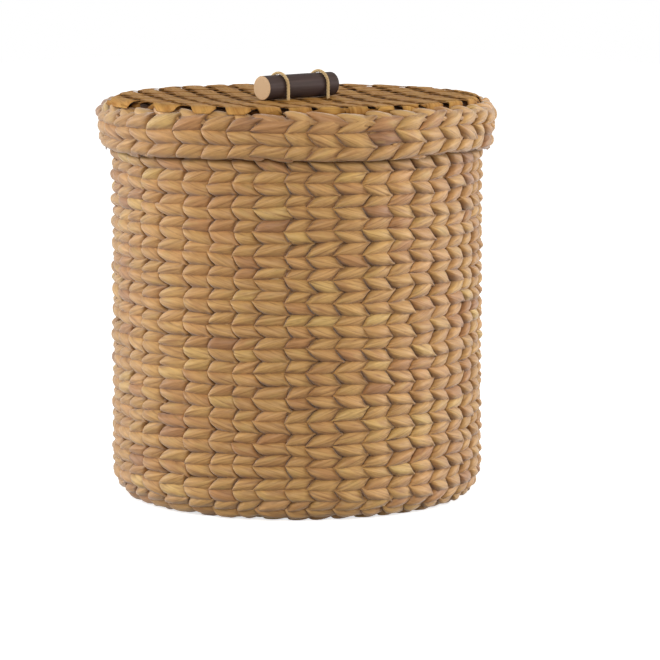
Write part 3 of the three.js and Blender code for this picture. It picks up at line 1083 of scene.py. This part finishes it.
class Nodes:
    """Short calls for building a material's nodes."""

    def __init__(self, name):
        self.material = bpy.data.materials.new(name)
        self.material.use_nodes = True
        self.tree = self.material.node_tree
        self.tree.nodes.clear()
        self.output = self.tree.nodes.new("ShaderNodeOutputMaterial")
        self.shader = self.tree.nodes.new("ShaderNodeBsdfPrincipled")
        self.link(self.shader.outputs["BSDF"], self.output.inputs["Surface"])

    def link(self, source, target):
        self.tree.links.new(source, target)

    def put(self, value, socket):
        if isinstance(value, bpy.types.NodeSocket):
            self.link(value, socket)
        elif value is not None:
            socket.default_value = value

    def attribute(self, name, output="Vector"):
        node = self.tree.nodes.new("ShaderNodeAttribute")
        node.attribute_name = name
        return node.outputs[output]

    def coordinates(self, output="Object"):
        return self.tree.nodes.new("ShaderNodeTexCoord").outputs[output]

    def scaled(self, vector, scale, shift=(0, 0, 0)):
        node = self.tree.nodes.new("ShaderNodeMapping")
        self.link(vector, node.inputs["Vector"])
        node.inputs["Location"].default_value = shift
        node.inputs["Scale"].default_value = scale
        return node.outputs["Vector"]

    def noise(self, vector, scale=1.0, detail=3.0, roughness=0.55, distortion=0.0):
        node = self.tree.nodes.new("ShaderNodeTexNoise")
        self.link(vector, node.inputs["Vector"])
        node.inputs["Scale"].default_value = scale
        node.inputs["Detail"].default_value = detail
        node.inputs["Roughness"].default_value = roughness
        node.inputs["Distortion"].default_value = distortion
        return node.outputs["Fac"]

    def rings(self, vector, distortion, detail):
        node = self.tree.nodes.new("ShaderNodeTexWave")
        node.wave_type = "RINGS"
        node.rings_direction = "X"
        self.link(vector, node.inputs["Vector"])
        node.inputs["Scale"].default_value = 1.0
        node.inputs["Distortion"].default_value = distortion
        node.inputs["Detail"].default_value = detail
        return node.outputs["Fac"]

    def ramp(self, factor, stops):
        node = self.tree.nodes.new("ShaderNodeValToRGB")
        elements = node.color_ramp.elements
        while len(elements) < len(stops):
            elements.new(0.5)
        for element, (position, colour) in zip(elements, stops):
            element.position = position
            element.color = (*colour, 1)
        self.link(factor, node.inputs["Fac"])
        return node.outputs["Color"]

    def math(self, operation, a, b):
        node = self.tree.nodes.new("ShaderNodeMath")
        node.operation = operation
        self.put(a, node.inputs[0])
        self.put(b, node.inputs[1])
        return node.outputs["Value"]

    def mix(self, factor, a, b, blend="MIX"):
        node = self.tree.nodes.new("ShaderNodeMix")
        node.data_type = "RGBA"
        node.blend_type = blend
        self.put(factor, node.inputs["Factor"])
        self.put(a, node.inputs[MIX_A])
        self.put(b, node.inputs[MIX_B])
        return node.outputs[MIX_RESULT]

    def range(self, value, low, high, to_low, to_high):
        node = self.tree.nodes.new("ShaderNodeMapRange")
        self.link(value, node.inputs["Value"])
        names = ("From Min", "From Max", "To Min", "To Max")
        for name, number in zip(names, (low, high, to_low, to_high)):
            node.inputs[name].default_value = number
        return node.outputs["Result"]

    def bump(self, height, distance, strength=1.0):
        node = self.tree.nodes.new("ShaderNodeBump")
        self.link(height, node.inputs["Height"])
        node.inputs["Distance"].default_value = distance
        node.inputs["Strength"].default_value = strength
        self.link(node.outputs["Normal"], self.shader.inputs["Normal"])

    def finish(self, colour, roughness=None, sheen=0.0, specular=0.5):
        self.put(colour, self.shader.inputs["Base Color"])
        self.put(roughness, self.shader.inputs["Roughness"])
        self.shader.inputs["Specular IOR Level"].default_value = specular
        if sheen:
            self.shader.inputs["Sheen Weight"].default_value = sheen
            self.shader.inputs["Sheen Roughness"].default_value = 0.45
        return self.material


def tinted(colour, gain, shift=(1, 1, 1)):
    return tuple(channel * gain * each for channel, each in zip(colour, shift))


def opaque(colour):
    return (*colour, 1)


def triple(value):
    """One number three times, for a grey or an even scale."""
    return (value, value, value)


def stalk_material(name, stalk, dim=1.0, sheen=0.35, gloss=0.5):
    """Dried hyacinth stalk: each stitch its own tan, with long fibres and stains, and painted shade mixed
    in wherever its stalk_shade attribute says, such as in its folds.
    """
    nodes = Nodes(name)
    place = nodes.attribute("stalk_place")
    tone = nodes.attribute("stalk_tone", "Fac")
    shade = nodes.attribute("stalk_shade", "Fac")
    stops = [
        (0.00, tinted(stalk, 0.60 * dim, (1.04, 0.87, 1.00))),
        (0.04, tinted(stalk, 0.82 * dim, (1.05, 0.91, 0.94))),
        (0.14, tinted(stalk, 0.94 * dim, (1.02, 0.98, 0.98))),
        (0.40, tinted(stalk, 1.00 * dim)),
        (0.70, tinted(stalk, 1.06 * dim, (1.00, 1.03, 0.98))),
        (0.86, tinted(stalk, 1.10 * dim, (1.03, 1.00, 1.10))),
        (0.94, tinted(stalk, 1.14 * dim, (0.99, 1.09, 1.02))),
        (1.00, tinted(stalk, 1.28 * dim, (0.97, 1.15, 1.20))),
    ]
    base = nodes.ramp(tone, stops)
    fibres = nodes.noise(nodes.scaled(place, (34, 420, 0)), 1.0, 3.0, 0.55, 0.5)
    fine = nodes.noise(nodes.scaled(place, (90, 2400, 0)), 1.0, 2.0, 0.5)
    patches = nodes.noise(nodes.scaled(place, (42, 90, 0)), 1.0, 2.0, 0.5)
    drift = nodes.noise(nodes.coordinates(), 9.0, 1.0)
    band_stops = [
        (0.28, (0.50, 0.42, 0.33)),
        (0.40, (0.84, 0.80, 0.75)),
        (0.52, triple(1)),
        (0.74, triple(1.20)),
    ]
    streaked = nodes.mix(1.0, base, nodes.ramp(fibres, band_stops), "MULTIPLY")
    brown = opaque(tinted(stalk, 0.66, (1.06, 0.84, 0.76)))
    olive = opaque(tinted(stalk, 1.02, (0.94, 1.10, 0.98)))
    russet = opaque(tinted(stalk, 0.86, (1.06, 0.93, 0.92)))
    # Colour of the painted shade, mixed in by the stalk_shade attribute
    dark = opaque(tinted(stalk, 0.30, (1.10, 0.78, 0.50)))
    stained = nodes.mix(nodes.range(patches, 0.55, 0.72, 0.0, 0.60), streaked, brown)
    greened = nodes.mix(nodes.range(patches, 0.43, 0.28, 0.0, 0.50), stained, olive)
    drifted = nodes.mix(nodes.range(drift, 0.35, 0.65, 0.0, 0.22), greened, russet)
    painted_shade = nodes.mix(nodes.range(shade, 0.15, 0.85, 0.0, 0.82), drifted, dark)
    coarse_height = nodes.math("MULTIPLY", fibres, 0.8)
    height = nodes.math("ADD", coarse_height, nodes.math("MULTIPLY", fine, 0.2))
    nodes.bump(height, 0.0016, 0.5)
    roughness = nodes.range(fibres, 0.3, 0.7, 0.64, 0.50)
    return nodes.finish(painted_shade, roughness, sheen=sheen, specular=gloss)


def cane_material(cane):
    """Split cane: pale, with fine dark grain along it."""
    nodes = Nodes("cane_stake")
    place = nodes.attribute("stalk_place")
    grain = nodes.noise(nodes.scaled(place, (12, 1500, 0)), 1.0, 3.0)
    tone = nodes.attribute("stalk_tone", "Fac")
    base = nodes.ramp(tone, [(0, tinted(cane, 0.85)), (1, tinted(cane, 1.1))])
    lines = nodes.ramp(grain, [(0.3, (0.72, 0.68, 0.6)), (0.7, triple(1.1))])
    nodes.bump(grain, 0.0005)
    return nodes.finish(nodes.mix(1.0, base, lines, "MULTIPLY"), 0.6)


def stained_wood_material(stain):
    """Dark stained wood: grain along the dowel, open pores and a slight mottle."""
    nodes = Nodes("stained_dowel")
    place = nodes.coordinates()
    grain = nodes.noise(nodes.scaled(place, (14, 420, 420)), 1.0, 4.0, 0.6, 0.6)
    pores = nodes.noise(nodes.scaled(place, (60, 1900, 1900)), 1.0, 2.0)
    mottle = nodes.noise(nodes.scaled(place, (30, 60, 60)), 1.0, 2.0)
    light = tinted(stain, 1.45, (1.0, 0.96, 0.95))
    base = nodes.ramp(grain, [(0.25, tinted(stain, 0.72)), (0.5, stain), (0.78, light)])
    violet = opaque(tinted(stain, 1.1, (1.02, 0.93, 1.12)))
    colour = nodes.mix(nodes.range(mottle, 0.45, 0.7, 0, 0.4), base, violet)
    height = nodes.math("ADD", grain, nodes.math("MULTIPLY", pores, 0.6))
    nodes.bump(height, 0.0004, 0.6)
    return nodes.finish(colour, nodes.range(grain, 0.3, 0.7, 0.66, 0.56), specular=0.16)


def end_grain_material(end_grain):
    """Raw sawn wood: growth rings round a point off the dowel's middle, and fine pores."""
    nodes = Nodes("dowel_end_grain")
    rings_per_metre = 230
    shift = (0, 0.9, -DOWEL_LEVEL * rings_per_metre - 0.6)
    place = nodes.scaled(nodes.coordinates(), triple(rings_per_metre), shift)
    rings = nodes.rings(place, 1.6, 2.0)
    pores = nodes.noise(nodes.scaled(nodes.coordinates(), triple(900)), 1.0, 2.0)
    early = tinted(end_grain, 0.93, (1, 0.97, 0.93))
    base = nodes.ramp(rings, [(0.2, early), (0.8, tinted(end_grain, 1.04))])
    dots = nodes.ramp(pores, [(0.3, (0.82, 0.79, 0.74)), (0.5, triple(1))])
    nodes.bump(pores, 0.0004, 0.5)
    return nodes.finish(nodes.mix(1.0, base, dots, "MULTIPLY"), 0.7, specular=0.35)


def twine_material(twine):
    """Straw twine: fine fibres along each ply."""
    nodes = Nodes("straw_twine")
    place = nodes.attribute("stalk_place")
    fibres = nodes.noise(nodes.scaled(place, (160, 3600, 1)), 1.0, 3.0, 0.6, 0.3)
    lines = nodes.ramp(fibres, [(0.28, (0.60, 0.54, 0.46)), (0.5, triple(1)), (0.75, (1.2, 1.18, 1.1))])
    nodes.bump(fibres, 0.0006, 0.8)
    colour = nodes.mix(1.0, opaque(twine), lines, "MULTIPLY")
    return nodes.finish(colour, 0.75, sheen=0.2, specular=0.35)


def material_for(name, finish):
    """One of the object's materials by name, made the first time it is asked for."""
    if name in bpy.data.materials:
        return bpy.data.materials[name]
    stalk = tuple(finish.stalk)
    strip = tinted(stalk, 1.12, (1.0, 0.975, 0.90))
    # Stalk colour darkened for the lining: painted shade
    shaded = tinted(stalk, 0.28, (1.05, 0.82, 0.72))
    makers = {
        "hyacinth_stalk": lambda: stalk_material(name, stalk),
        "hyacinth_stalk_inside": lambda: stalk_material(name, stalk, 0.92),
        "hyacinth_strips": lambda: stalk_material(name, strip, 1.0, 0.0, 0.05),
        "hyacinth_lining_painted_shade": lambda: stalk_material(name, shaded, 1.0, 0.0, 0.05),
        "cane_stake": lambda: cane_material(tuple(finish.cane)),
        "stained_dowel": lambda: stained_wood_material(tuple(finish.stain)),
        "dowel_end_grain": lambda: end_grain_material(tuple(finish.end_grain)),
        "straw_twine": lambda: twine_material(tuple(finish.twine)),
    }
    return makers[name]()


# Operators


class BASKET_OT_wall(bpy.types.Operator):
    """Twine the courses of the wall"""

    bl_idname = "basket.wall"
    bl_label = "Wall courses"

    def execute(self, context):
        settings = context.scene.basket_weave
        stalk = material_for("hyacinth_stalk", context.scene.basket_finish)
        for index in range(len(WALL_NODES)):
            weave_wall_course(index, settings, stalk)
        return {"FINISHED"}


class BASKET_OT_bottom(bpy.types.Operator):
    """Twine the turn of the bottom edge, the floor and the underside"""

    bl_idname = "basket.bottom"
    bl_label = "Bottom"

    def execute(self, context):
        settings = context.scene.basket_weave
        finish = context.scene.basket_finish
        stalk = material_for("hyacinth_stalk", finish)
        inside = material_for("hyacinth_stalk_inside", finish)
        for index in range(len(TURN_NODES)):
            weave_turn_course(index, settings, stalk)
        level = FLOOR_UNDER + 0.6 * MM
        seed = settings.seed + 21
        floor = weave_disc("floor_weave", "base_floor_weave", level, 1, settings, inside, seed)
        level = LEG_LEVEL - 2.2 * MM
        seed = settings.seed + 22
        under = weave_disc("underside_weave", "base_under_weave", level, -1, settings, stalk, seed)
        return {"FINISHED"}


class BASKET_OT_stakes(bpy.types.Operator):
    """Stand the cane stakes and finish the spokes of the base"""

    bl_idname = "basket.stakes"
    bl_label = "Stakes"

    def execute(self, context):
        cane = material_for("cane_stake", context.scene.basket_finish)
        make_stakes(context.scene.basket_weave, cane)
        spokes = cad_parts["base_cross"]
        spokes.material_slots[0].material = cane
        return {"FINISHED"}


class BASKET_OT_rim(bpy.types.Operator):
    """Plait the border along the rim"""

    bl_idname = "basket.rim"
    bl_label = "Rim border"

    def execute(self, context):
        stalk = material_for("hyacinth_stalk", context.scene.basket_finish)
        weave_rim(context.scene.basket_weave, stalk)
        return {"FINISHED"}


class BASKET_OT_lid(bpy.types.Operator):
    """Weave the lid's top, its lining and its skirt"""

    bl_idname = "basket.lid"
    bl_label = "Lid"

    def execute(self, context):
        settings = context.scene.basket_weave
        finish = context.scene.basket_finish
        stalk = material_for("hyacinth_stalk", finish)
        strips = material_for("hyacinth_strips", finish)
        lining = material_for("hyacinth_lining_painted_shade", finish)
        weave_lid_panel(settings, strips)
        weave_lid_lining(settings, lining)
        for piece, node in weave_lid_skirt(settings, stalk):
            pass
        return {"FINISHED"}


class BASKET_OT_handle(bpy.types.Operator):
    """Turn the dowel and bind it with its two twine loops"""

    bl_idname = "basket.handle"
    bl_label = "Handle"

    def execute(self, context):
        finish = context.scene.basket_finish
        wood = [material_for("stained_dowel", finish), material_for("dowel_end_grain", finish)]
        make_dowel(wood)
        twine = material_for("straw_twine", finish)
        for index in range(len(LOOPS)):
            make_loop(index, twine)
        return {"FINISHED"}


# Stage


# The photograph's frame: its width, its scale at the basket, and where the basket's axis stands in it
IMAGE_WIDTH = 660
PIXELS_PER_METRE = 966
AXIS_X, TARGET_Y = 297, 282.5
TARGET_LEVEL = 220 * MM

# Floor: its colour in its own light and to the camera, and how far from the basket it turns white
FLOOR_HALF = 6.0
FLOOR_COLOUR = (0.30, 0.29, 0.28)
FLOOR_GREY = 0.85
FLOOR_NEAR, FLOOR_FAR = 0.3, 1.6

# Shares of the side lights' power
LEFT_SHARE, RIGHT_SHARE = 0.97, 1.12


def seen_directly(tree):
    """1 for rays from the camera and for reflections of it, otherwise 0."""
    path = tree.nodes.new("ShaderNodeLightPath")
    reached = path.outputs["Is Camera Ray"]
    for name in ("Is Glossy Ray", "Is Transmission Ray"):
        either = tree.nodes.new("ShaderNodeMath")
        either.operation = "MAXIMUM"
        tree.links.new(reached, either.inputs[0])
        tree.links.new(path.outputs[name], either.inputs[1])
        reached = either.outputs["Value"]
    return reached


def floor_material(lift):
    """Matt white paper that looks as white as the surroundings wherever the object doesn't shade it."""
    nodes = Nodes("floor_paper")
    seen = seen_directly(nodes.tree)
    colour = nodes.mix(seen, opaque(FLOOR_COLOUR), opaque(triple(FLOOR_GREY)))
    nodes.finish(colour, 0.9, specular=0.0)
    glow = nodes.tree.nodes.new("ShaderNodeEmission")
    away = nodes.tree.nodes.new("ShaderNodeVectorMath")
    away.operation = "LENGTH"
    nodes.link(nodes.coordinates(), away.inputs[0])
    white = nodes.range(away.outputs["Value"], FLOOR_NEAR, FLOOR_FAR, lift, 1.0)
    nodes.link(nodes.math("MULTIPLY", seen, white), glow.inputs["Strength"])
    both = nodes.tree.nodes.new("ShaderNodeAddShader")
    nodes.link(nodes.shader.outputs["BSDF"], both.inputs[0])
    nodes.link(glow.outputs["Emission"], both.inputs[1])
    nodes.link(both.outputs["Shader"], nodes.output.inputs["Surface"])
    return nodes.material


def make_floor(lift):
    mesh = bpy.data.meshes.new("floor")
    corners = [(x * FLOOR_HALF, y * FLOOR_HALF, 0) for x, y in ((-1, -1), (1, -1), (1, 1), (-1, 1))]
    mesh.from_pydata(corners, [], [(0, 1, 2, 3)])
    new_object("floor", mesh, floor_material(lift))


def make_world(strength):
    world = bpy.data.worlds.new("white_studio")
    bpy.context.scene.world = world
    world.use_nodes = True
    tree = world.node_tree
    background = tree.nodes["Background"]
    shown = tree.nodes.new("ShaderNodeMath")
    shown.operation = "MAXIMUM"
    tree.links.new(seen_directly(tree), shown.inputs[0])
    shown.inputs[1].default_value = strength
    tree.links.new(shown.outputs["Value"], background.inputs["Strength"])
    background.inputs["Color"].default_value = (1, 1, 1, 1)


def area_light(name, energy, size, azimuth, elevation, distance):
    """A square light that faces the basket, with its angles in degrees."""
    light = bpy.data.lights.new(name, "AREA")
    light.shape = "SQUARE"
    light.size = size
    light.energy = energy
    lamp = bpy.data.objects.new(name, light)
    bpy.context.scene.collection.objects.link(lamp)
    a, e = math.radians(azimuth), math.radians(elevation)
    way = Vector((math.sin(a) * math.cos(e), -math.cos(a) * math.cos(e), math.sin(e)))
    lamp.location = Vector((0, 0, TARGET_LEVEL)) + way * distance
    lamp.rotation_euler = way.to_track_quat("Z", "Y").to_euler()


def make_camera(stage):
    """The photograph's camera: its lens, pitch and place, worked out from the dimension lines."""
    focal = stage.focal_pixels
    pitch = stage.pitch
    distance = focal / PIXELS_PER_METRE
    right_shift = -(AXIS_X - IMAGE_WIDTH / 2) / focal * distance
    up_shift = (TARGET_Y - IMAGE_WIDTH / 2) / focal * distance
    ahead = np.array([0, math.cos(pitch), -math.sin(pitch)])
    up = np.array([0, math.sin(pitch), math.cos(pitch)])
    target = np.array([0, 0, TARGET_LEVEL])
    place = target - ahead * distance + np.array([right_shift, 0, 0]) + up * up_shift
    turn = math.radians(VIEW_AZIMUTH)
    camera = bpy.data.cameras.new("camera")
    camera.sensor_width = 36
    camera.lens = focal / IMAGE_WIDTH * camera.sensor_width
    camera.clip_end = 60
    holder = bpy.data.objects.new("camera", camera)
    bpy.context.scene.collection.objects.link(holder)
    holder.location = (
        place[0] * math.cos(turn) - place[1] * math.sin(turn),
        place[0] * math.sin(turn) + place[1] * math.cos(turn),
        place[2],
    )
    holder.rotation_euler = (QUARTER - pitch, 0, turn)
    bpy.context.scene.camera = holder


class BASKET_OT_stage(bpy.types.Operator):
    """Set up the floor, the surroundings, the lights and the camera"""

    bl_idname = "basket.stage"
    bl_label = "Stage"

    def execute(self, context):
        stage = context.scene.basket_stage
        context.scene.view_settings.view_transform = "Standard"
        make_floor(stage.floor_lift)
        make_world(stage.world_strength)
        left = stage.side_energy * LEFT_SHARE
        right = stage.side_energy * RIGHT_SHARE
        area_light("key_light", stage.key_energy, 1.8, VIEW_AZIMUTH - 4, 28, 3.0)
        area_light("left_light", left, 1.5, VIEW_AZIMUTH - 92, 14, 2.4)
        area_light("right_light", right, 1.5, VIEW_AZIMUTH + 92, 14, 2.4)
        make_camera(stage)
        return {"FINISHED"}


OPERATORS = (
    BASKET_OT_stage,
    BASKET_OT_stakes,
    BASKET_OT_wall,
    BASKET_OT_bottom,
    BASKET_OT_rim,
    BASKET_OT_lid,
    BASKET_OT_handle,
)


class BASKET_PT_panel(bpy.types.Panel):
    """The basket's settings and the steps that build it"""

    bl_idname = "BASKET_PT_panel"
    bl_label = "Laundry basket"
    bl_space_type = "VIEW_3D"
    bl_region_type = "UI"
    bl_category = "Basket"

    def draw(self, context):
        scene = context.scene
        for group in (scene.basket_weave, scene.basket_finish, scene.basket_stage):
            for name in group.bl_rna.properties.keys():
                if name not in ("rna_type", "name"):
                    self.layout.prop(group, name)
        for step in OPERATORS:
            self.layout.operator(step.bl_idname)


CLASSES = (BasketWeave, BasketFinish, BasketStage, *OPERATORS, BASKET_PT_panel)


def register():
    for each in CLASSES:
        bpy.utils.register_class(each)
    bpy.types.Scene.basket_weave = PointerProperty(type=BasketWeave)
    bpy.types.Scene.basket_finish = PointerProperty(type=BasketFinish)
    bpy.types.Scene.basket_stage = PointerProperty(type=BasketStage)


def unregister():
    del bpy.types.Scene.basket_stage
    del bpy.types.Scene.basket_finish
    del bpy.types.Scene.basket_weave
    for each in reversed(CLASSES):
        bpy.utils.unregister_class(each)


def main():
    register()
    bpy.ops.basket.stage()
    bpy.ops.basket.stakes()
    bpy.ops.basket.wall()
    bpy.ops.basket.bottom()
    bpy.ops.basket.rim()
    bpy.ops.basket.lid()
    bpy.ops.basket.handle()


if __name__ == "__main__":
    main()
